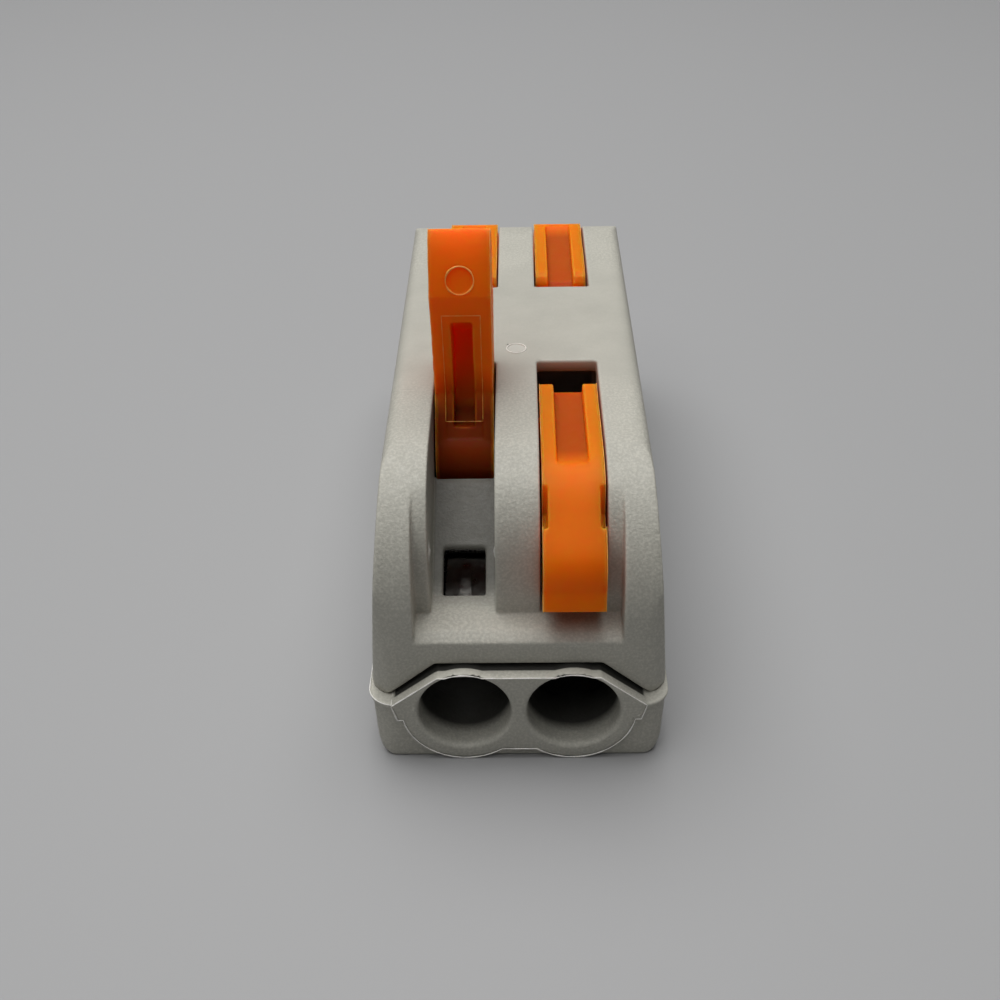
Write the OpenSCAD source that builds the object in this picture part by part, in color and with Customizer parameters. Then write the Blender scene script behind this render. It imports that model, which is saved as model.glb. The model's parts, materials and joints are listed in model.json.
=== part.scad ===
// Inline lever wire connector: two poles, each running straight through from a wire entry
// at the front to a wire entry at the back, with an orange clamping lever over every entry.
// Millimetres. +Z up, +Y towards the back entries, origin at the centre of the underside.

/* [Housing] */
// Length over the two entry faces
body_l = 38.4; // [37:0.1:40]
// Width at the seam between base and cover
body_w = 14.5; // [14.5:0.1:16]
// Height of the top face
body_h = 14.4; // [14.4:0.1:15]
// Height of the seam between base and cover
seam_z = 3.5; // [3.4:0.1:3.6]
// Distance between the two poles
pole_pitch = 5.3; // [5.3:0.1:5.6]
// Distance each cover face stands back from the entry face
face_setback = 0.8; // [0.7:0.1:1]
// Inward lean of each cover side per millimetre of height
side_draft = 0.075; // [0.05:0.005:0.08]

/* [Wire entries] */
// Radius of each wire entry
bore_r = 2.25; // [2.1:0.05:2.3]
// Height of the wire entry axis
bore_z = 3.1; // [3.05:0.05:3.2]
// Length of each wire entry
bore_l = 3.6; // [3.4:0.1:3.8]

/* [Levers] */
// Width of a lever
lever_w = 2.94; // [2.8:0.02:2.96]
// Width of the slot that a lever lies in
slot_w = 3.16; // [3.14:0.02:3.2]
// Distance of the lever pivot from its entry face
pivot_in = 11.4; // [11.4:0.1:11.5]
// Height of the lever pivot
pivot_z = 11.9; // [11.9:0.1:12]
// Angle between the closed and the raised lever
lever_open = 108; // [60:1:108]
// Radius of the lever's side trunnions
trunnion_r = 0.8; // [0.7:0.05:0.85]
// Radial running clearance of a trunnion
trunnion_gap = 0.05; // [0.03:0.01:0.08]

/* [Contacts] */
// Width of the chamber inside each pole
chamber_w = 3.7; // [3.6:0.05:3.75]
// Width of the current bar and of the clamp springs
strip_w = 3.2; // [3.1:0.05:3.3]
// Thickness of the spring strip
spring_t = 0.35; // [0.3:0.05:0.4]
// Thickness of the current bar
bar_t = 0.7; // [0.6:0.05:0.8]
// Angle that a raised lever turns its clamp cage through
cage_open = 21; // [10:1:21]

/* [Hidden] */
$fn = 64;

GREY = [0.70, 0.69, 0.65];
DARK_GREY = [0.60, 0.59, 0.56];
ORANGE = [0.87, 0.42, 0.10];
TINNED = [0.78, 0.76, 0.72];
STEEL = [0.62, 0.64, 0.66];

far = 60;                          // longer than the whole part, for cutting tools
pole_x = pole_pitch / 2;
pivot = [pivot_in, pivot_z];
corner_r = 1.3;                    // plan corners of the housing
top_fillet = 0.7;
cheek_r = 6.6;                     // rounded front of the side cheeks
cheek_z = body_h - cheek_r;
cheek_in = 4.97;                   // inner face of each cheek
rib_r = 4.2;                         // rounded front of the ribs between the levers
rib_front = 2.5;
ledge_z = 7.2;                     // shelf in front of the ribs
ledge_edge_z = 6.8;
slot_rear = 14.7;
wall = 0.95;                       // floor of the lever channel, measured upright
floor_front = [3.9, 7.3];          // lever channel floor, from its foot
floor_rear = [9.1, 10.8];          // to its upper end
chamber_front = 3.7;
chamber_floor = 0.9;
step_r = 2.05;                     // short step behind each entry
base_setback = 0.2;                // front of the base, behind the entry face
block_top = 5.29;                  // flat top of the entry block
block_gap = 0.22;                  // open joint between the entry block and the cover
chamber_top = 13.7;
stop_half = 1.2;                   // half length of the wire stop at mid length
bar_z = 5.3;                       // underside of the current bar
bar_top = bar_z + bar_t;
nose_in = 4.6;                     // end of the current bar, from the entry face
nose_w = 2.1;                      // its narrow end, which the cage passes around
nose_end = 9.95;
bend_r = 1.3;                      // rear bend of the spring, on its centre line
bend = [16, bar_top + spring_t / 2 + bend_r];
leg_in = 8.95;                     // front leg of the cage, from the entry face
hump = [12, 9.92];
leg_top = 9.15;
leg_foot = 4.72;
cam_low = 1.5;                     // cam radius under the closed lever
cam_high = 3.05;                   // cam radius under the raised lever
cam_turn = 104;                    // angle that the cam's rising stretch covers

tip_under = 8.26;                   // underside of the finger tip of a closed lever
underside_foot = [4.4, 8.62];       // underside of the lever, from behind its tip
underside_bend = [9, 11.02];       // up to the hub
hub_foot = [10.5, 10.62];
notch_near = 7.6;                  // radii of the side notches about the pivot
notch_far = 9.05;

// Places its children at one pole of one end; inside, X is across the pole,
// Y is the distance in from the entry face and Z is the height.
module at_pole(back, side)
    mirror([0, back, 0]) translate([side * pole_x, -body_l / 2, 0]) children();

module both_ends()
    for (back = [0, 1]) mirror([0, back, 0]) translate([0, -body_l / 2, 0]) children();

module every_pole()
    for (back = [0, 1], side = [-1, 1]) at_pole(back, side) children();

// Side outline (inward distance, height) given a width across, centred on X
module plate(w)
    translate([-w / 2, 0, 0]) rotate([90, 0, 90]) linear_extrude(w) children();

// Front outline (across, height) given a depth from y0 to y1
module slab(y0, y1)
    translate([0, y1, 0]) rotate([90, 0, 0]) linear_extrude(y1 - y0) children();

module rounded_plan(l, w, r)
    for (sx = [-1, 1]) {
        square([w, l - 2 * r], center = true);
        square([w - 2 * r, l], center = true);
        for (sy = [-1, 1]) translate([sx * (w / 2 - r), sy * (l / 2 - r)]) circle(r);
    }

// Outer form of the cover: drafted sides, rounded top edges, arched cheeks at both ends
module cover_front_outline() {
    rise = body_h - seam_z;
    top_half = body_w / 2 - side_draft * rise;
    round_half = top_half + side_draft * top_fillet - top_fillet;
    difference() {
        polygon([[-body_w / 2, seam_z], [body_w / 2, seam_z],
                 [top_half, body_h], [-top_half, body_h]]);
        for (s = [0, 1]) mirror([s, 0]) difference() {
            translate([round_half, body_h - top_fillet]) square(2 * top_fillet);
            translate([round_half, body_h - top_fillet]) circle(top_fillet);
        }
    }
}

module cover_side_outline() {
    difference() {
        translate([face_setback, 0]) square([body_l - 2 * face_setback, body_h]);
        for (s = [0, 1]) translate([s * body_l, 0]) mirror([s, 0]) difference() {
            translate([face_setback - 1, cheek_z]) square([cheek_r + 1, cheek_r + 1]);
            translate([face_setback + cheek_r, cheek_z]) circle(cheek_r);
        }
    }
}

module cover_blank()
    intersection() {
        slab(-body_l / 2, body_l / 2) cover_front_outline();
        translate([0, -body_l / 2, 0]) plate(body_w + 2) cover_side_outline();
        linear_extrude(body_h + 1) rounded_plan(body_l - 2 * face_setback, body_w, corner_r);
    }

// Space in front of the ribs and above the ledge, between the cheeks
module rib_relief_outline()
    difference() {
        polygon([[-1, ledge_edge_z], [face_setback, ledge_edge_z],
                 [face_setback + 0.5, ledge_z - 0.1], [rib_front, ledge_z],
                 [rib_front + rib_r, ledge_z], [rib_front + rib_r, far], [-1, far]]);
        translate([rib_front + rib_r, body_h - rib_r]) circle(rib_r);
        translate([rib_front, 0]) square([rib_r + 1, body_h - rib_r]);
    }

// Channel that the lever lies in, open down to the chamber behind its sloping floor
module lever_channel_outline()
    polygon([[-1, ledge_edge_z], [face_setback, ledge_edge_z], [face_setback + 0.5, ledge_z - 0.1],
             [rib_front, ledge_z], floor_front, floor_rear, [floor_rear.x, 10],
             [slot_rear, 10], [slot_rear, far], [-1, far]]);

// Chamber for the wire, the bar and the spring: under the channel floor, then to mid length
module chamber_outline(bottom) {
    mid = body_l / 2 - stop_half;
    polygon([[chamber_front, bottom], [chamber_front, floor_front.y - wall],
             [floor_front.x, floor_front.y - wall], [floor_rear.x, floor_rear.y - wall],
             [floor_rear.x, 10.7], [slot_rear, 10.7], [slot_rear, chamber_top],
             [mid, chamber_top], [mid, bottom]]);
}

module entry_block_outline(gap) {
    half_top = 3.92 + gap / 2;
    half_low = 6.2 + gap;
    polygon([[-5.95 - gap, 2.6], [-half_low, seam_z], [-half_top, block_top + gap],
             [half_top, block_top + gap], [half_low, seam_z], [5.95 + gap, 2.6]]);
}

// Round entry with a lead-in at its mouth and a step behind it
module entry_bore()
    translate([0, 0, bore_z]) rotate([-90, 0, 0]) {
        translate([0, 0, -1]) cylinder(r = bore_r, h = bore_l + 1);
        translate([0, 0, -0.001]) cylinder(r1 = bore_r + 0.1, r2 = bore_r, h = 0.2);
        translate([0, 0, bore_l - 0.5]) cylinder(r = step_r, h = 1.5);
    }

module detent_bump(side)
    translate([side * (slot_w / 2 + 0.35), 3.5, 10.25]) sphere(0.45);

module housing_cover()
    color(GREY) {
        difference() {
            cover_blank();
            both_ends() plate(2 * cheek_in) rib_relief_outline();
            both_ends() slab(-1, chamber_front + 0.05) entry_block_outline(block_gap);
            every_pole() plate(slot_w) lever_channel_outline();
            every_pole() plate(chamber_w) chamber_outline(0);
            every_pole() entry_bore();
            // test window in the channel floor, undercut at its rear edge
            every_pole() translate([-1.05, floor_front.x, 6]) cube([2.1, 2.1, 4]);
            every_pole() plate(2.1)
                polygon([[5.9, 6.5], [5.9, 8.29], [6.9, 8.97], [6.9, 6.5]]);
            // blind bearings for the lever trunnions
            every_pole() translate([0, pivot_in, pivot_z]) rotate([0, 90, 0])
                cylinder(r = trunnion_r + trunnion_gap, h = 4.1, center = true);
            // passage of the current bar and seat of the wire stop at mid length
            for (s = [-1, 1]) translate([s * pole_x - chamber_w / 2, -stop_half - 1, 0])
                cube([chamber_w, 2 * stop_half + 2, bar_top + 0.02]);
            // locating holes for the pegs of the base
            for (s = [-1, 1]) translate([0, s * 12, 0]) cylinder(r = 0.45, h = seam_z + 1.7);
            // injection point on the top face
            translate([0, 16.1 - body_l / 2, body_h - 0.05]) cylinder(r = 0.52, h = 1);
        }
        every_pole() for (side = [-1, 1]) intersection() {
            detent_bump(side);
            translate([side * (slot_w / 2 + 0.2) - 0.45, 2, 9]) cube([0.9, 3, 2]);
        }
    }

// Base tray: sides leaning in towards the rounded underside, thin rim along the seam
module base_front_outline() {
    half_top = body_w / 2 - 0.05;
    half_low = 6.95;
    edge = 0.8;
    difference() {
        polygon([[-half_top, seam_z], [half_top, seam_z], [half_low, 0], [-half_low, 0]]);
        for (s = [0, 1]) mirror([s, 0]) difference() {
            translate([half_low - edge, -edge]) square([2 * edge, 2 * edge]);
            translate([half_low - edge, edge]) circle(edge);
        }
    }
}

module base_side_outline() {
    edge = 0.15;
    setback = base_setback;
    difference() {
        translate([setback, 0]) square([body_l - 2 * setback, seam_z]);
        for (s = [0, 1]) translate([s * body_l, 0]) mirror([s, 0]) difference() {
            translate([setback - edge, -edge]) square([2 * edge, 2 * edge]);
            translate([setback + edge, edge]) circle(edge);
        }
    }
}

module base_ring_outline()
    intersection() {
        union() {
            for (s = [-1, 1]) translate([s * pole_x, bore_z]) circle(bore_z - 0.05);
            translate([-1.5, 0.63]) square([3, 3]);
        }
        translate([-far / 2, 0]) square([far, bore_z + 0.3]);
    }

module housing_base()
    color(DARK_GREY) {
        difference() {
            union() {
                intersection() {
                    slab(-body_l / 2, body_l / 2) base_front_outline();
                    translate([0, -body_l / 2, 0]) plate(body_w + 2) base_side_outline();
                    linear_extrude(seam_z)
                        rounded_plan(body_l - 2 * base_setback, body_w, corner_r);
                }
                // rim that closes against the cover
                translate([0, 0, seam_z - 0.25]) linear_extrude(0.25)
                    rounded_plan(body_l - 2 * base_setback + 0.2, body_w + 0.2, corner_r);
                both_ends() slab(0, bore_l) {
                    entry_block_outline(0);
                    base_ring_outline();
                }
                // rings that stand a little above the flat top of the block
                every_pole() translate([0, 0, bore_z]) rotate([-90, 0, 0])
                    cylinder(r = bore_r + 0.12, h = bore_l);
            }
            every_pole() translate([-chamber_w / 2, bore_l - 0.02, chamber_floor])
                cube([chamber_w, body_l / 2 - bore_l - stop_half + 0.02, 10]);
            every_pole() entry_bore();
        }
        // wire stops that also carry the current bars
        for (s = [-1, 1]) translate([s * pole_x - chamber_w / 2 + 0.05, -stop_half, 1])
            cube([chamber_w - 0.1, 2 * stop_half, bar_z - 1]);
        // locating pegs in the wall between the poles
        for (s = [-1, 1]) translate([0, s * 12, 1]) cylinder(r = 0.4, h = seam_z + 0.5);
    }

function cam_point(step, steps) =
    let (angle = -90 + cam_turn * step / steps,
         radius = cam_low + (cam_high - cam_low) * step / steps)
    pivot + radius * [cos(angle), sin(angle)];

// Smooth corner from a to c, drawn towards b
function curve(a, b, c, steps) =
    [for (i = [0 : steps]) let (t = i / steps)
        (1 - t) * (1 - t) * a + 2 * t * (1 - t) * b + t * t * c];

module lever_side_outline() {
    steps = 16;
    polygon(concat(
        curve([3.2, tip_under], [1.3, tip_under], [0.6, 8.84], steps / 2),
        curve([0.86, 9.8], [0.66, 11], [1.56, 11.77], steps / 2),
        curve([3.25, 13.18], [4.47, 14.2], [6.1, 14.2], steps / 2),
        [[12.35, 14.2], [12.75, 14.08], [13, 13.75], [13.05, 13.4]],
        [for (step = [steps : -1 : 0]) cam_point(step, steps)],
        [hub_foot, underside_bend, underside_foot, [3.8, tip_under]]));
}

// Groove between the two top rails, deep at the rear and running out towards the tip
module rail_groove()
    plate(1.5) polygon([[4.9, 14.6], [4.9, 14.18], [5.6, 13.98], [8, 13.8], [12.6, 13.66],
                        [12.95, 13.4], [15, 12.4], [15, 14.6]]);

// Pocket that lightens the underside, inside a shallow step
module underside_pocket() {
    step = [0, 0.1];
    plate(1.88) polygon([[4.75, 8], [4.75, 8.8] + step, underside_bend + step, hub_foot + step,
                         [11.3, 10.5], [11.3, 10], [9, 10], [5.5, 8]]);
    plate(1.06) polygon([[5.15, 8], [5.15, 11.2], [6, 12.4], [9.6, 12.4], [10.7, 11.3],
                         [10.7, 10], [9, 10]]);
}

// Arc cut into both sides of the lever, to the given depth
module side_notch(depth)
    for (s = [-1, 1]) translate([s * (lever_w / 2 + 0.5 - depth), pivot_in, pivot_z])
        rotate([0, 90, 0]) difference() {
            cylinder(r = notch_far, h = 1, center = true);
            cylinder(r = notch_near, h = 2, center = true);
        }

module lever_solid(turn)
    translate([0, pivot_in, pivot_z]) rotate([-turn, 0, 0]) translate([0, -pivot_in, -pivot_z]) {
        difference() {
            plate(lever_w) lever_side_outline();
            rail_groove();
            underside_pocket();
            // ejector mark under the tip
            translate([0, 3.0, 8]) cylinder(r = 0.67, h = tip_under + 0.1 - 8);
            // notch in the upper half of both sides, behind the finger tip
            intersection() {
                side_notch(0.24);
                plate(lever_w + 1) polygon([[1, 11], [6, 13], [6, 16], [1, 16]]);
            }
        }
        translate([0, pivot_in, pivot_z]) rotate([0, 90, 0])
            cylinder(r = trunnion_r, h = 3.94, center = true);
    }

module lever_front_left() color(ORANGE) at_pole(0, -1) lever_solid(lever_open);
module lever_front_right() color(ORANGE) at_pole(0, 1) lever_solid(0);
module lever_back_left() color(ORANGE) at_pole(1, -1) lever_solid(0);
module lever_back_right() color(ORANGE) at_pole(1, 1) lever_solid(0);

// Current bar of one pole, straight from the front clamp to the back clamp
module busbar(side)
    color(TINNED) translate([side * pole_x, 0, 0]) {
        translate([-strip_w / 2, nose_end - body_l / 2, bar_z])
            cube([strip_w, body_l - 2 * nose_end, bar_t]);
        translate([-nose_w / 2, nose_in - body_l / 2, bar_z])
            cube([nose_w, body_l - 2 * nose_in, bar_t]);
        // tapered test ridge seen through the window of each lever channel
        both_ends() translate([0, 0, bar_top - 0.1]) linear_extrude(0.6)
            polygon([[-0.32, nose_in], [0.32, nose_in], [0.2, 7.5], [-0.2, 7.5]]);
    }

module busbar_left() busbar(-1);
module busbar_right() busbar(1);

// Straight stretch of strip between two points of its centre line, with round ends
module strip(from, to) {
    run = to - from;
    translate(from) rotate(atan2(run.y, run.x)) translate([0, -spring_t / 2])
        square([norm(run), spring_t]);
    translate(from) circle(spring_t / 2);
    translate(to) circle(spring_t / 2);
}

// Part of the rear bend from angle a to angle b, at most a quarter turn
module bend_arc(a, b)
    intersection() {
        translate(bend) difference() {
            circle(bend_r + spring_t / 2);
            circle(bend_r - spring_t / 2);
        }
        translate(bend) polygon([[0, 0], 4 * [cos(a), sin(a)],
                                 4 * [cos((a + b) / 2), sin((a + b) / 2)] * 1.3,
                                 4 * [cos(b), sin(b)]]);
    }

// Fixed leg of the spring, flat on the current bar and up into the rear bend
module spring_seat()
    color(STEEL) plate(strip_w) {
        strip([10.35, bar_top + spring_t / 2], [bend.x, bar_top + spring_t / 2]);
        bend_arc(-90, 0);
        bend_arc(-2, 8);
    }

// Moving leg of the spring with the cage that lifts the wire against the current bar
module clamp_cage(turn)
    color(STEEL) translate([0, bend.x, bend.y]) rotate([turn, 0, 0])
        translate([0, -bend.x, -bend.y]) difference() {
            plate(strip_w) {
                bend_arc(11, 60);
                bend_arc(58, 90);
                strip([bend.x, bend.y + bend_r], hump);
                strip(hump, [leg_in, leg_top]);
                strip([leg_in, leg_top], [leg_in, leg_foot]);
            }
            // window for the current bar and the wire
            translate([-1.2, leg_in - 1, bar_z - 0.08]) cube([2.4, 2, 3.7]);
        }

module spring_seat_front_left() at_pole(0, -1) spring_seat();
module spring_seat_front_right() at_pole(0, 1) spring_seat();
module spring_seat_back_left() at_pole(1, -1) spring_seat();
module spring_seat_back_right() at_pole(1, 1) spring_seat();

module clamp_cage_front_left() at_pole(0, -1) clamp_cage(cage_open);
module clamp_cage_front_right() at_pole(0, 1) clamp_cage(0);
module clamp_cage_back_left() at_pole(1, -1) clamp_cage(0);
module clamp_cage_back_right() at_pole(1, 1) clamp_cage(0);

housing_cover();
housing_base();
lever_front_left();
lever_front_right();
lever_back_left();
lever_back_right();
busbar_left();
busbar_right();
spring_seat_front_left();
spring_seat_front_right();
spring_seat_back_left();
spring_seat_back_right();
clamp_cage_front_left();
clamp_cage_front_right();
clamp_cage_back_left();
clamp_cage_back_right();
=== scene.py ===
"""Looks of the lever wire connector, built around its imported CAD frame. Metres, +Z up, +Y to the back.

The housing halves and the levers are drawn again as moulded copies of their CAD nodes, with rounded
edges and thin lines of moulding flash. The bars and springs stay CAD nodes with metal materials."""
import json
import math

import bpy
import numpy as np
import openvdb as vdb
from mathutils import Matrix, Vector

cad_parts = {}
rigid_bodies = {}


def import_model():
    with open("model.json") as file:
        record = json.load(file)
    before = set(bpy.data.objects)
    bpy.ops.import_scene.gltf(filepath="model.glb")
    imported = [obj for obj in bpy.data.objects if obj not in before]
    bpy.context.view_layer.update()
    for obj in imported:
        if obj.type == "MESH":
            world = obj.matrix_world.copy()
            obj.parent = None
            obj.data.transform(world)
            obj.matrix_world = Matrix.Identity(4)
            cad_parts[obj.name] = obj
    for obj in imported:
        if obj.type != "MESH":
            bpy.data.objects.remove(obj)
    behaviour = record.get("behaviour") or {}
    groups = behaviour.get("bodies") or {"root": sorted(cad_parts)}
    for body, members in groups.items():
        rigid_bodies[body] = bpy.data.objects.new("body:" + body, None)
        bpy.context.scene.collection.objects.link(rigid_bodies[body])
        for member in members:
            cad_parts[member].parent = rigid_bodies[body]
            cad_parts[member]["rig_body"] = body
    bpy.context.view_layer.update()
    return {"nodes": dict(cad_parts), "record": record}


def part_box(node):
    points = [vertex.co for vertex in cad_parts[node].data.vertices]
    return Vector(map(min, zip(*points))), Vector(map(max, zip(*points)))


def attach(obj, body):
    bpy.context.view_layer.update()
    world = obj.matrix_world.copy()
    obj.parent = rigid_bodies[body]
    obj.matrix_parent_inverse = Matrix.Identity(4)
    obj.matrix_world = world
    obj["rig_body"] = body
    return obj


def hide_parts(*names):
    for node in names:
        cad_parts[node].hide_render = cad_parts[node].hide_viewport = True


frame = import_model()

MM = 0.001

# Places on the object, as the CAD source has them
RAISED = math.radians(108)          # rest angle of the lever that stands open
PIVOT_IN = 11.4 * MM                # distance of a lever pivot from its entry face
LEVER_HALF = 1.47 * MM              # half the width of a lever
POLE = 2.65 * MM                    # distance of a pole's centre from the middle
SEAM = 3.5 * MM                     # height of the seam between the cover and the base
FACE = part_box("housing_cover")[1][1]                # distance of an entry face from the middle
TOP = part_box("housing_cover")[1][2]                 # height of the cover's flat top
GATE = Vector((0, -3.1 * MM, TOP))                  # injection point on the top
GATE_R = 0.52 * MM
EJECTOR_IN, EJECTOR_UP, EJECTOR_R = 3.0 * MM, 8.26 * MM, 0.67 * MM      # mark under a finger tip
POCKET_HALF = 0.94 * MM                             # step round the pocket in a lever's underside
POCKET_EDGE = [(4.75 * MM, 8.79 * MM), (9 * MM, 11.0 * MM), (10.4 * MM, 10.62 * MM)]
BUMP_OFF, BUMP_IN, BUMP_UP = 1.56 * MM, 2.7 * MM, 10.25 * MM            # detents beside the tips

# Colours, linear
GREY = (0.385, 0.375, 0.325)
FLASH_GREY = (0.80, 0.78, 0.72)
STRESS_WHITE = (0.80, 0.79, 0.75, 1)


# ---------------------------------------------------------------- camera, floor and light

def make_camera():
    """A camera 48 mm above the floor in front of the entries, looking down along the connector."""
    pitch, yaw, roll = math.radians(34.61), math.radians(-1.1), math.radians(-1.12)
    forward = Vector((math.sin(yaw) * math.cos(pitch), math.cos(yaw) * math.cos(pitch), -math.sin(pitch)))
    right = Vector((math.cos(yaw), -math.sin(yaw), 0))
    up = right.cross(forward)
    rolled_right = right * math.cos(roll) + up * math.sin(roll)
    rolled_up = up * math.cos(roll) - right * math.sin(roll)
    turn = Matrix((rolled_right, rolled_up, -forward)).transposed().to_4x4()
    data = bpy.data.cameras.new("camera")
    data.sensor_width = 36
    data.lens = 48.11
    data.clip_start = 1 * MM
    camera = bpy.data.objects.new("camera", data)
    camera.matrix_world = Matrix.Translation(Vector((0.19, -66.74, 48.44)) * MM) @ turn
    bpy.context.collection.objects.link(camera)
    bpy.context.scene.camera = camera


def area_light(name, place, target, size, power):
    data = bpy.data.lights.new(name, "AREA")
    data.shape = "DISK"
    data.size = size
    data.energy = power
    light = bpy.data.objects.new(name, data)
    light.location = place
    light.rotation_euler = (Vector(target) - Vector(place)).to_track_quat("-Z", "Y").to_euler()
    bpy.context.collection.objects.link(light)


def make_stage():
    """Plain grey floor, two large soft lights above, a weak fill and a dim even surround."""
    bpy.context.scene.view_settings.view_transform = "Standard"
    bpy.ops.mesh.primitive_plane_add(size=3)
    floor = bpy.context.object
    floor.name = "floor"
    material = bpy.data.materials.new("floor_grey")
    material.use_nodes = True
    shader = material.node_tree.nodes["Principled BSDF"]
    shader.inputs["Base Color"].default_value = (0.32, 0.32, 0.322, 1)
    shader.inputs["Roughness"].default_value = 0.6
    floor.data.materials.append(material)
    area_light("key", (-0.03, 0.09, 0.30), (0, 0, 0), 0.34, 1.05)
    area_light("overhead", (-0.05, -0.09, 0.30), (0, 0, 0), 0.34, 0.34)
    area_light("fill", (-0.16, -0.24, 0.36), (0, 0, 0), 0.10, 0.05)
    world = bpy.data.worlds.new("surround")
    world.use_nodes = True
    world.node_tree.nodes["Background"].inputs["Color"].default_value = (0.80, 0.80, 0.82, 1)
    world.node_tree.nodes["Background"].inputs["Strength"].default_value = 0.11
    bpy.context.scene.world = world


# ---------------------------------------------------------------- softened plastic meshes

def blurred(field, sigma):
    """The field after a Gaussian blur of sigma cells along each axis."""
    reach = int(math.ceil(2.5 * sigma))
    weights = np.exp(-0.5 * (np.arange(-reach, reach + 1) / sigma) ** 2)
    weights /= weights.sum()
    for axis in range(3):
        total = np.zeros_like(field)
        for shift, weight in zip(range(-reach, reach + 1), weights):
            total += np.float32(weight) * np.roll(field, shift, axis)
        field = total
    return field


def sampled(field, places):
    """The field at places, in cells, by trilinear interpolation."""
    low = np.floor(places).astype(int)
    low = np.clip(low, 0, np.array(field.shape) - 2)
    part = places - low
    total = np.zeros(len(places))
    for corner in np.ndindex(2, 2, 2):
        weight = np.prod(np.where(np.array(corner) == 1, part, 1 - part), axis=1)
        at = low + corner
        total += weight * field[at[:, 0], at[:, 1], at[:, 2]]
    return total


def node_triangles(node):
    mesh = frame["nodes"][node].data
    points = np.empty(len(mesh.vertices) * 3, np.float32)
    mesh.vertices.foreach_get("co", points)
    mesh.calc_loop_triangles()
    triangles = np.empty(len(mesh.loop_triangles) * 3, np.int32)
    mesh.loop_triangles.foreach_get("vertices", triangles)
    return points.reshape(-1, 3), triangles.reshape(-1, 3).astype(np.uint32)


def mesh_from_arrays(name, points, triangles, quads):
    mesh = bpy.data.meshes.new(name)
    mesh.vertices.add(len(points))
    mesh.vertices.foreach_set("co", points.astype(np.float32).ravel())
    corners = np.concatenate([quads.ravel(), triangles.ravel()]).astype(np.int32)
    mesh.loops.add(len(corners))
    mesh.loops.foreach_set("vertex_index", corners)
    mesh.polygons.add(len(quads) + len(triangles))
    starts = np.concatenate([np.arange(len(quads)) * 4,
                             len(quads) * 4 + np.arange(len(triangles)) * 3]).astype(np.int32)
    mesh.polygons.foreach_set("loop_start", starts)
    mesh.update(calc_edges=True)
    mesh.validate()
    mesh.shade_smooth()
    return mesh


def add_attribute(mesh, name, values):
    attribute = mesh.attributes.new(name, "FLOAT", "POINT")
    attribute.data.foreach_set("value", values.astype(np.float32))


def add_lever_regions(mesh, node):
    """Attribute "web_shade": 1 on the thin floor of the groove in a lever's top, fading out towards its tip.
    Attribute "hub": 1 on the part of its underside that turns down into the slot. Both mask painted shade."""
    # limits of both regions in millimetres from the pivot, on the closed lever
    web_front, web_fade, web_half = -6.6, 1.8, 0.74 * MM
    web_low, web_high = 1.4, 2.24
    hub_front, hub_fade, hub_top, hub_rise = -3.9, 2.6, 0.9, 0.8
    pivot, way, raised = lever_frame(node)
    spots = np.array([v.co for v in mesh.vertices])
    across = np.abs(spots[:, 0] - pivot[0])
    inward = (spots[:, 1] - pivot[1]) * way
    height = spots[:, 2] - pivot[2]
    local_in = (inward * math.cos(raised) - height * math.sin(raised)) / MM
    local_up = (inward * math.sin(raised) + height * math.cos(raised)) / MM
    on_floor = (across < web_half) * (local_up > web_low) * (local_up < web_high)
    web_shade = np.clip((local_in - web_front) / web_fade, 0, 1) * on_floor
    hub = np.clip((local_in - hub_front) / hub_fade, 0, 1) * np.clip((hub_top - local_up) / hub_rise, 0, 1)
    add_attribute(mesh, "web_shade", web_shade)
    add_attribute(mesh, "hub", hub)


def outline_length(loop):
    return sum((a - b).length for a, b in zip(loop, loop[1:] + loop[:1]))


def plane_loops(node, axis, value):
    """Closed outlines of the node's flat faces that lie in the plane axis = value, longest first."""
    near, grid = 2e-6, 1e7
    mesh = frame["nodes"][node].data
    use, place = {}, {}
    for polygon in mesh.polygons:
        if all(abs(mesh.vertices[i].co[axis] - value) < near for i in polygon.vertices):
            keys = [tuple(round(c * grid) for c in mesh.vertices[i].co) for i in polygon.vertices]
            for i, key in zip(polygon.vertices, keys):
                place[key] = mesh.vertices[i].co.copy()
            for first, second in zip(keys, keys[1:] + keys[:1]):
                edge = frozenset((first, second))
                use[edge] = use.get(edge, 0) + 1
    after = {}
    for edge, count in use.items():
        if count == 1 and len(edge) == 2:
            first, second = tuple(edge)
            after.setdefault(first, []).append(second)
            after.setdefault(second, []).append(first)
    loops, seen = [], set()
    for start in after:
        if start in seen:
            continue
        loop, key = [], start
        while key is not None:
            seen.add(key)
            loop.append(place[key])
            key = next((k for k in after[key] if k not in seen), None)
        loops.append(loop)
    return sorted(loops, key=outline_length, reverse=True)


def wavering(rng, count, every, low, high):
    """count values that drift between random ones set at every few places."""
    knots = count // every + 2
    return np.interp(np.arange(count) / every, np.arange(knots), rng.uniform(low, high, knots))


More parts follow.
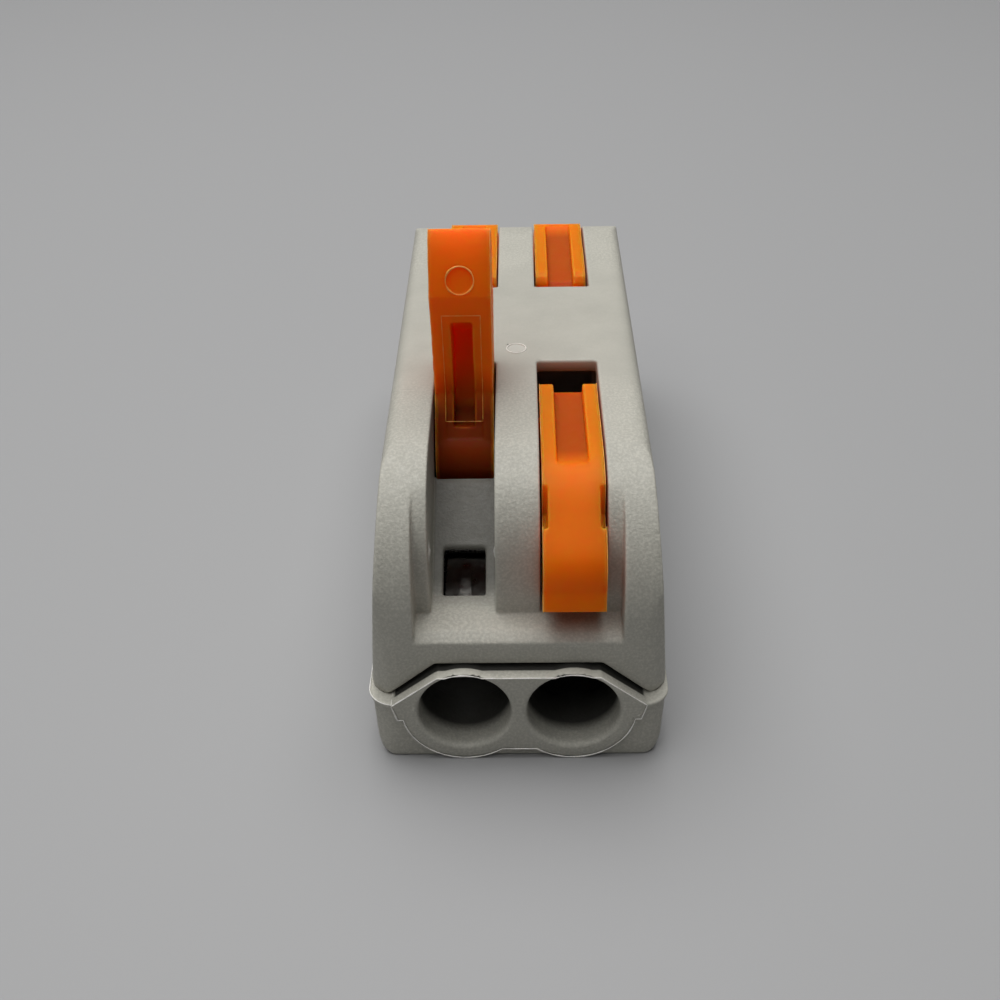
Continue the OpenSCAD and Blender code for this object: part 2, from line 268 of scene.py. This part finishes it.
def flash_line(name, loop, thick, seed, body, material):
    """Thin irregular line of flash that stands on a closed outline."""
    pitch, sides = 0.12 * MM, 6
    rng = np.random.default_rng(seed)
    spots = []
    for first, second in zip(loop, loop[1:] + loop[:1]):
        steps = max(1, int((second - first).length / pitch))
        spots += [first.lerp(second, k / steps) for k in range(steps)]
    count = len(spots)
    size = wavering(rng, count, 3, 0.45, 1.3)
    lift = wavering(rng, count, 5, -0.5, 0.5)
    size[-3:] = size[0]
    vertices, faces = [], []
    for i, spot in enumerate(spots):
        along = (spots[(i + 1) % count] - spots[i - 1]).normalized()
        across = along.cross(Vector((0.31, 0.52, 0.79))).normalized()
        other = along.cross(across)
        centre = spot + across * float(lift[i]) * thick * 0.5
        for k in range(sides):
            angle = 2 * math.pi * k / sides
            outward = across * math.cos(angle) + other * math.sin(angle)
            vertices.append(centre + outward * thick * float(size[i]))
    for i in range(count):
        j = (i + 1) % count
        for k in range(sides):
            m = (k + 1) % sides
            faces.append((i * sides + k, i * sides + m, j * sides + m, j * sides + k))
    mesh = bpy.data.meshes.new(name)
    mesh.from_pydata(vertices, [], faces)
    mesh.shade_smooth()
    piece = bpy.data.objects.new(name, mesh)
    bpy.context.collection.objects.link(piece)
    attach(piece, body)
    piece.data.materials.append(material)


def lever_frame(node):
    """Pivot, inward direction and rest angle of a lever, as its joint gives them."""
    joint = next(j for j in frame["record"]["behaviour"]["joints"] if j["name"] == node + "_hinge")
    way = 1 if "front" in node else -1
    return Vector(joint["pos_m"]), way, (RAISED if node == "lever_front_left" else 0)


def on_lever(node, across, inward, height):
    """Place of a point given on the closed lever: across it, in from the entry face, and up."""
    pivot, way, raised = lever_frame(node)
    dy, dz = inward - PIVOT_IN, height - pivot.z
    turned = (dy * math.cos(raised) + dz * math.sin(raised), dz * math.cos(raised) - dy * math.sin(raised))
    return Vector((pivot.x + across, pivot.y + way * turned[0], pivot.z + turned[1]))


def ejector_points(node, count=40):
    """Circle on the underside of the finger tip, which rises a little towards the tip."""
    lean = 0.03
    return [on_lever(node, EJECTOR_R * math.cos(a), EJECTOR_IN + EJECTOR_R * math.sin(a),
                     EJECTOR_UP - lean * EJECTOR_R * math.sin(a))
            for a in (2 * math.pi * k / count for k in range(count))]


def pocket_points(node):
    """Edge of the shallow step round the pocket in a lever's underside."""
    return [on_lever(node, -POCKET_HALF, inward, height) for inward, height in POCKET_EDGE] + \
           [on_lever(node, POCKET_HALF, inward, height) for inward, height in reversed(POCKET_EDGE)]


def gate_points(count=36):
    """Circle round the injection point, just below the flat top."""
    sink = 0.005 * MM
    return [GATE + Vector((GATE_R * math.cos(a), GATE_R * math.sin(a), -sink))
            for a in (2 * math.pi * k / count for k in range(count))]


def moulded_copy(node, cell, soften):
    """A copy of a CAD node with every edge and corner rounded as moulding leaves it.
    cell is the grid spacing and soften the rounding, in metres. The mesh carries an attribute
    "convex": above 0 on outer edges and below 0 in corners."""
    band, margin = 6, 4             # in cells
    adaptivity, wide = 0.03, 0.2 * MM
    points, triangles = node_triangles(node)
    grid = vdb.FloatGrid.createLevelSetFromPolygons(
        points, triangles=triangles, transform=vdb.createLinearTransform(voxelSize=cell), halfWidth=band)
    low, high = grid.evalActiveVoxelBoundingBox()
    low = np.array(low) - margin
    size = np.array(high) - low + 1 + margin
    field = np.empty(size, np.float32)
    grid.copyToArray(field, ijk=tuple(int(v) for v in low))
    field = blurred(field, soften / cell)
    smooth = vdb.FloatGrid(band * cell)
    smooth.copyFromArray(field, ijk=tuple(int(v) for v in low))
    smooth.transform = vdb.createLinearTransform(voxelSize=cell)
    smooth.gridClass = vdb.GridClass.LEVEL_SET
    points, triangles, quads = smooth.convertToPolygons(isovalue=0, adaptivity=adaptivity)
    mesh = mesh_from_arrays(node + "_moulded", points, triangles[:, ::-1], quads[:, ::-1])
    wider = blurred(field, wide / cell)
    convex = sampled(wider, points / cell - low) / MM
    add_attribute(mesh, "convex", convex)
    if node.startswith("lever"):
        add_lever_regions(mesh, node)
    piece = bpy.data.objects.new(node + "_moulded", mesh)
    bpy.context.collection.objects.link(piece)
    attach(piece, frame["nodes"][node]["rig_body"])
    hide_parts(node)
    return piece


# ---------------------------------------------------------------- materials

class Nodes:
    """Short forms for building one material's node tree."""

    def __init__(self, name):
        self.material = bpy.data.materials.new(name)
        self.material.use_nodes = True
        self.tree = self.material.node_tree
        self.shader = self.tree.nodes["Principled BSDF"]

    def add(self, kind, **settings):
        node = self.tree.nodes.new(kind)
        for key, value in settings.items():
            setattr(node, key, value)
        return node

    def link(self, output, target):
        self.tree.links.new(output, target)

    def coordinates(self):
        return self.add("ShaderNodeTexCoord").outputs["Object"]

    def noise(self, scale, detail=3.0, roughness=0.5):
        node = self.add("ShaderNodeTexNoise")
        node.inputs["Scale"].default_value = scale
        node.inputs["Detail"].default_value = detail
        node.inputs["Roughness"].default_value = roughness
        self.link(self.coordinates(), node.inputs["Vector"])
        return node.outputs["Fac"]

    def ramp(self, value, low, high, out_low=0.0, out_high=1.0):
        node = self.add("ShaderNodeMapRange")
        for key, number in (("From Min", low), ("From Max", high), ("To Min", out_low), ("To Max", out_high)):
            node.inputs[key].default_value = number
        self.link(value, node.inputs["Value"])
        return node.outputs["Result"]

    def mix(self, factor, first, second):
        node = self.add("ShaderNodeMix", data_type="RGBA")
        for socket, value in ((node.inputs[0], factor), (node.inputs[6], first), (node.inputs[7], second)):
            if isinstance(value, bpy.types.NodeSocket):
                self.link(value, socket)
            else:
                socket.default_value = value
        return node.outputs[2]

    def attribute(self, name):
        return self.add("ShaderNodeAttribute", attribute_name=name).outputs["Fac"]

    def maths(self, operation, first, second=None):
        """A Math node on a socket and, where it needs one, a second socket or number."""
        node = self.add("ShaderNodeMath", operation=operation)
        self.link(first, node.inputs[0])
        if isinstance(second, bpy.types.NodeSocket):
            self.link(second, node.inputs[1])
        elif second is not None:
            node.inputs[1].default_value = second
        return node.outputs[0]

    def product(self, first, *others):
        for other in others:
            first = self.maths("MULTIPLY", first, other)
        return first

    def distance(self, place):
        node = self.add("ShaderNodeVectorMath", operation="DISTANCE")
        self.link(self.coordinates(), node.inputs[0])
        node.inputs[1].default_value = place
        return node.outputs["Value"]

    def varied_roughness(self, scale, low, high):
        self.link(self.ramp(self.noise(scale, 3), 0.3, 0.7, low, high), self.shader.inputs["Roughness"])

    def bump(self, height, strength, distance):
        node = self.add("ShaderNodeBump")
        node.inputs["Strength"].default_value = strength
        node.inputs["Distance"].default_value = distance
        self.link(height, node.inputs["Height"])
        self.link(node.outputs["Normal"], self.shader.inputs["Normal"])

    def subsurface(self, weight, radius, scale):
        self.shader.inputs["Subsurface Weight"].default_value = weight
        self.shader.inputs["Subsurface Radius"].default_value = radius
        self.shader.inputs["Subsurface Scale"].default_value = scale


def shade(base, factor):
    """The base colour made darker or paler, with its alpha."""
    return tuple(min(1, c * factor) for c in base) + (1,)


def grey_plastic(name, base, marks=(), inside_shade=False, gap_shadow=False, slots=False):
    """Grey polyamide with a sparked grain that fades out at mid length. marks are pale spots, given as
    centre, inner radius, outer radius and strength. inside_shade paints shade on the walls inside,
    gap_shadow paints a shadow on the open joint over the entry blocks, and slots paints shade on the
    lever slots, which lie in the shade of their walls."""
    n = Nodes(name)
    split = n.add("ShaderNodeSeparateXYZ")
    n.link(n.coordinates(), split.inputs[0])
    height = split.outputs["Z"]
    along = n.maths("ABSOLUTE", split.outputs["Y"])
    aside = n.maths("ABSOLUTE", split.outputs["X"])
    textured = n.ramp(along, 5.6 * MM, 8.0 * MM, 0.18, 1.0)
    speckle = n.ramp(n.noise(7500, 2, 0.6), 0.42, 0.66)
    mottle = n.ramp(n.noise(420, 4), 0.3, 0.7)
    colour = n.mix(mottle, shade(base, 0.94), shade(base, 1.05))
    colour = n.mix(n.product(speckle, textured, 0.55), colour, shade(base, 1.4))
    edge = n.ramp(n.attribute("convex"), 0.05, 0.11, 0, 0.5)
    colour = n.mix(edge, colour, shade(base, 1.45))
    if marks:
        spots = [n.ramp(n.distance(place), near, far, strength, 0) for place, near, far, strength in marks]
        white = spots[0]
        for spot in spots[1:]:
            white = n.maths("MAXIMUM", white, spot)
        colour = n.mix(white, colour, STRESS_WHITE)
    # painted shadow: a near black strip on the entry block's top in front of the cover's face, where the open
    # joint lies in shade
    if gap_shadow:
        strip = n.ramp(along, FACE + 0.20 * MM, FACE + 0.27 * MM, 1, 0)
        above = n.ramp(height, SEAM + 0.06 * MM, SEAM + 0.14 * MM)
        colour = n.mix(n.product(strip, above), colour, shade(base, 0.07))
    # painted shade: the walls inside the entries made dark, where little light reaches
    if inside_shade:
        behind = n.ramp(along, 18.3 * MM, 17.6 * MM)
        low = n.ramp(height, 5.5 * MM, 5.3 * MM)
        middle = n.ramp(aside, 5.2 * MM, 5.1 * MM)
        colour = n.mix(n.product(behind, low, middle), colour, shade(base, 0.12))
    if slots:
        off_pole = n.maths("ABSOLUTE", n.maths("SUBTRACT", aside, POLE))
        within = n.ramp(off_pole, 1.62 * MM, 1.5 * MM, 0, 0.8)
        behind = n.ramp(along, 16.4 * MM, 14.6 * MM)
        below = n.ramp(height, TOP - 0.1 * MM, TOP - 0.5 * MM)
        colour = n.mix(n.product(within, behind, below), colour, shade(base, 0.2))
    n.link(colour, n.shader.inputs["Base Color"])
    n.shader.inputs["Specular IOR Level"].default_value = 0.4
    n.varied_roughness(2500, 0.48, 0.66)
    n.bump(n.product(n.noise(6500, 2, 0.6), textured), 0.5, 0.05 * MM)
    return n.material


def orange_plastic(name):
    """Orange polyamide that lets light through, with painted shade on the thin web in its top and on its hub
    in the slot.
    """
    n = Nodes(name)
    tone = n.ramp(n.noise(300, 3), 0.3, 0.7)
    colour = n.mix(tone, (0.93, 0.15, 0.002, 1), (0.95, 0.175, 0.003, 1))
    # painted shade on the thin web of the groove in the lever's top
    colour = n.mix(n.ramp(n.attribute("web_shade"), 0, 1, 0, 0.9), colour, (0.36, 0.05, 0.002, 1))
    # painted shade on the hub where it turns down into the slot
    colour = n.mix(n.ramp(n.attribute("hub"), 0, 1, 0, 0.92), colour, (0.16, 0.016, 0.001, 1))
    # paler on outer edges: partly pale flash, partly a painted glow of light through the thin edges
    edge = n.ramp(n.attribute("convex"), 0.05, 0.09, 0, 0.55)
    colour = n.mix(edge, colour, (0.97, 0.27, 0.03, 1))
    n.link(colour, n.shader.inputs["Base Color"])
    n.subsurface(0.9, (1.0, 0.06, 0.01), 4.5 * MM)
    n.shader.inputs["Specular IOR Level"].default_value = 0.08
    n.varied_roughness(2500, 0.42, 0.56)
    n.bump(n.noise(4000, 2), 0.2, 0.02 * MM)
    return n.material


def flash_orange(name):
    n = Nodes(name)
    tone = n.ramp(n.noise(3000, 3), 0.3, 0.7)
    n.link(n.mix(tone, (0.92, 0.26, 0.03, 1), (1.0, 0.42, 0.10, 1)), n.shader.inputs["Base Color"])
    n.varied_roughness(2500, 0.4, 0.6)
    n.subsurface(0.5, (1.0, 0.2, 0.04), 0.5 * MM)
    return n.material


def metal(name, base, roughness):
    n = Nodes(name)
    tone = n.ramp(n.noise(900, 4), 0.3, 0.7)
    n.link(n.mix(tone, shade(base, 0.8), shade(base, 1)), n.shader.inputs["Base Color"])
    n.shader.inputs["Metallic"].default_value = 1
    n.varied_roughness(3000, roughness - 0.08, roughness + 0.08)
    return n.material


# ---------------------------------------------------------------- assembly

def dress_housing():
    """The two halves of the housing, moulded."""
    bumps = [(Vector((x + side * BUMP_OFF, end * (FACE - BUMP_IN), BUMP_UP)), 0.38 * MM, 0.62 * MM, 0.8)
             for x in (-POLE, POLE) for side in (-1, 1) for end in (-1, 1)]
    gate_spot = (GATE, 0.42 * MM, 0.56 * MM, 0.14)
    cover = grey_plastic("cover_polyamide", GREY, bumps + [gate_spot], inside_shade=True, slots=True)
    base = grey_plastic("base_polyamide", GREY, inside_shade=True, gap_shadow=True)
    for node, slot, soften, material in (("housing_cover", "cover_plastic", 0.055 * MM, cover),
                                         ("housing_base", "base_plastic", 0.05 * MM, base)):
        piece = moulded_copy(node, 0.075 * MM, soften)
        piece.data.materials.append(material)


def add_housing_flash():
    """Flash round the entry blocks, the injection point and the seam."""
    flash = grey_plastic("flash_polyamide", FLASH_GREY)
    low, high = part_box("housing_base")
    for end, value in (("front", low[1]), ("back", high[1])):
        outline = plane_loops("housing_base", 1, value)[0]
        flash_line(f"entry_flash_{end}", outline, 0.035 * MM, 3, "housing", flash)
    flash_line("gate_ring", gate_points(), 0.03 * MM, 7, "housing", flash)
    seam = plane_loops("housing_base", 2, SEAM)[0]
    flash_line("seam_flash", seam, 0.03 * MM, 5, "housing", flash)


def dress_lever(node, place, orange, flash):
    """One lever, moulded, with flash at its ejector mark, its pocket and both its side outlines."""
    piece = moulded_copy(node, 0.05 * MM, 0.04 * MM)
    piece.data.materials.append(orange)
    body = frame["nodes"][node]["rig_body"]
    pivot = lever_frame(node)[0]
    lines = [("ejector_ring", ejector_points(node), 0.05 * MM, 11),
             ("pocket_flash", pocket_points(node), 0.02 * MM, 13),
             ("lever_flash_a", plane_loops(node, 0, pivot.x - LEVER_HALF)[0], 0.022 * MM, 17),
             ("lever_flash_b", plane_loops(node, 0, pivot.x + LEVER_HALF)[0], 0.022 * MM, 17)]
    for name, outline, thick, seed in lines:
        flash_line(f"{name}_{place}", outline, thick, seed, body, flash)


def dress_metal():
    """The bars and springs stay CAD nodes and get metal materials."""
    tin = metal("tinned_copper", (0.72, 0.70, 0.65), 0.35)
    steel = metal("spring_steel", (0.62, 0.62, 0.62), 0.3)
    for node, piece in frame["nodes"].items():
        if node.startswith(("busbar", "spring_seat", "clamp_cage")):
            piece.data.materials.clear()
            piece.data.materials.append(tin if node.startswith("busbar") else steel)


make_camera()
make_stage()
dress_housing()
orange = orange_plastic("lever_orange")
orange_flash = flash_orange("orange_flash")
for place in ("front_left", "front_right", "back_left", "back_right"):
    dress_lever(f"lever_{place}", place, orange, orange_flash)
add_housing_flash()
dress_metal()
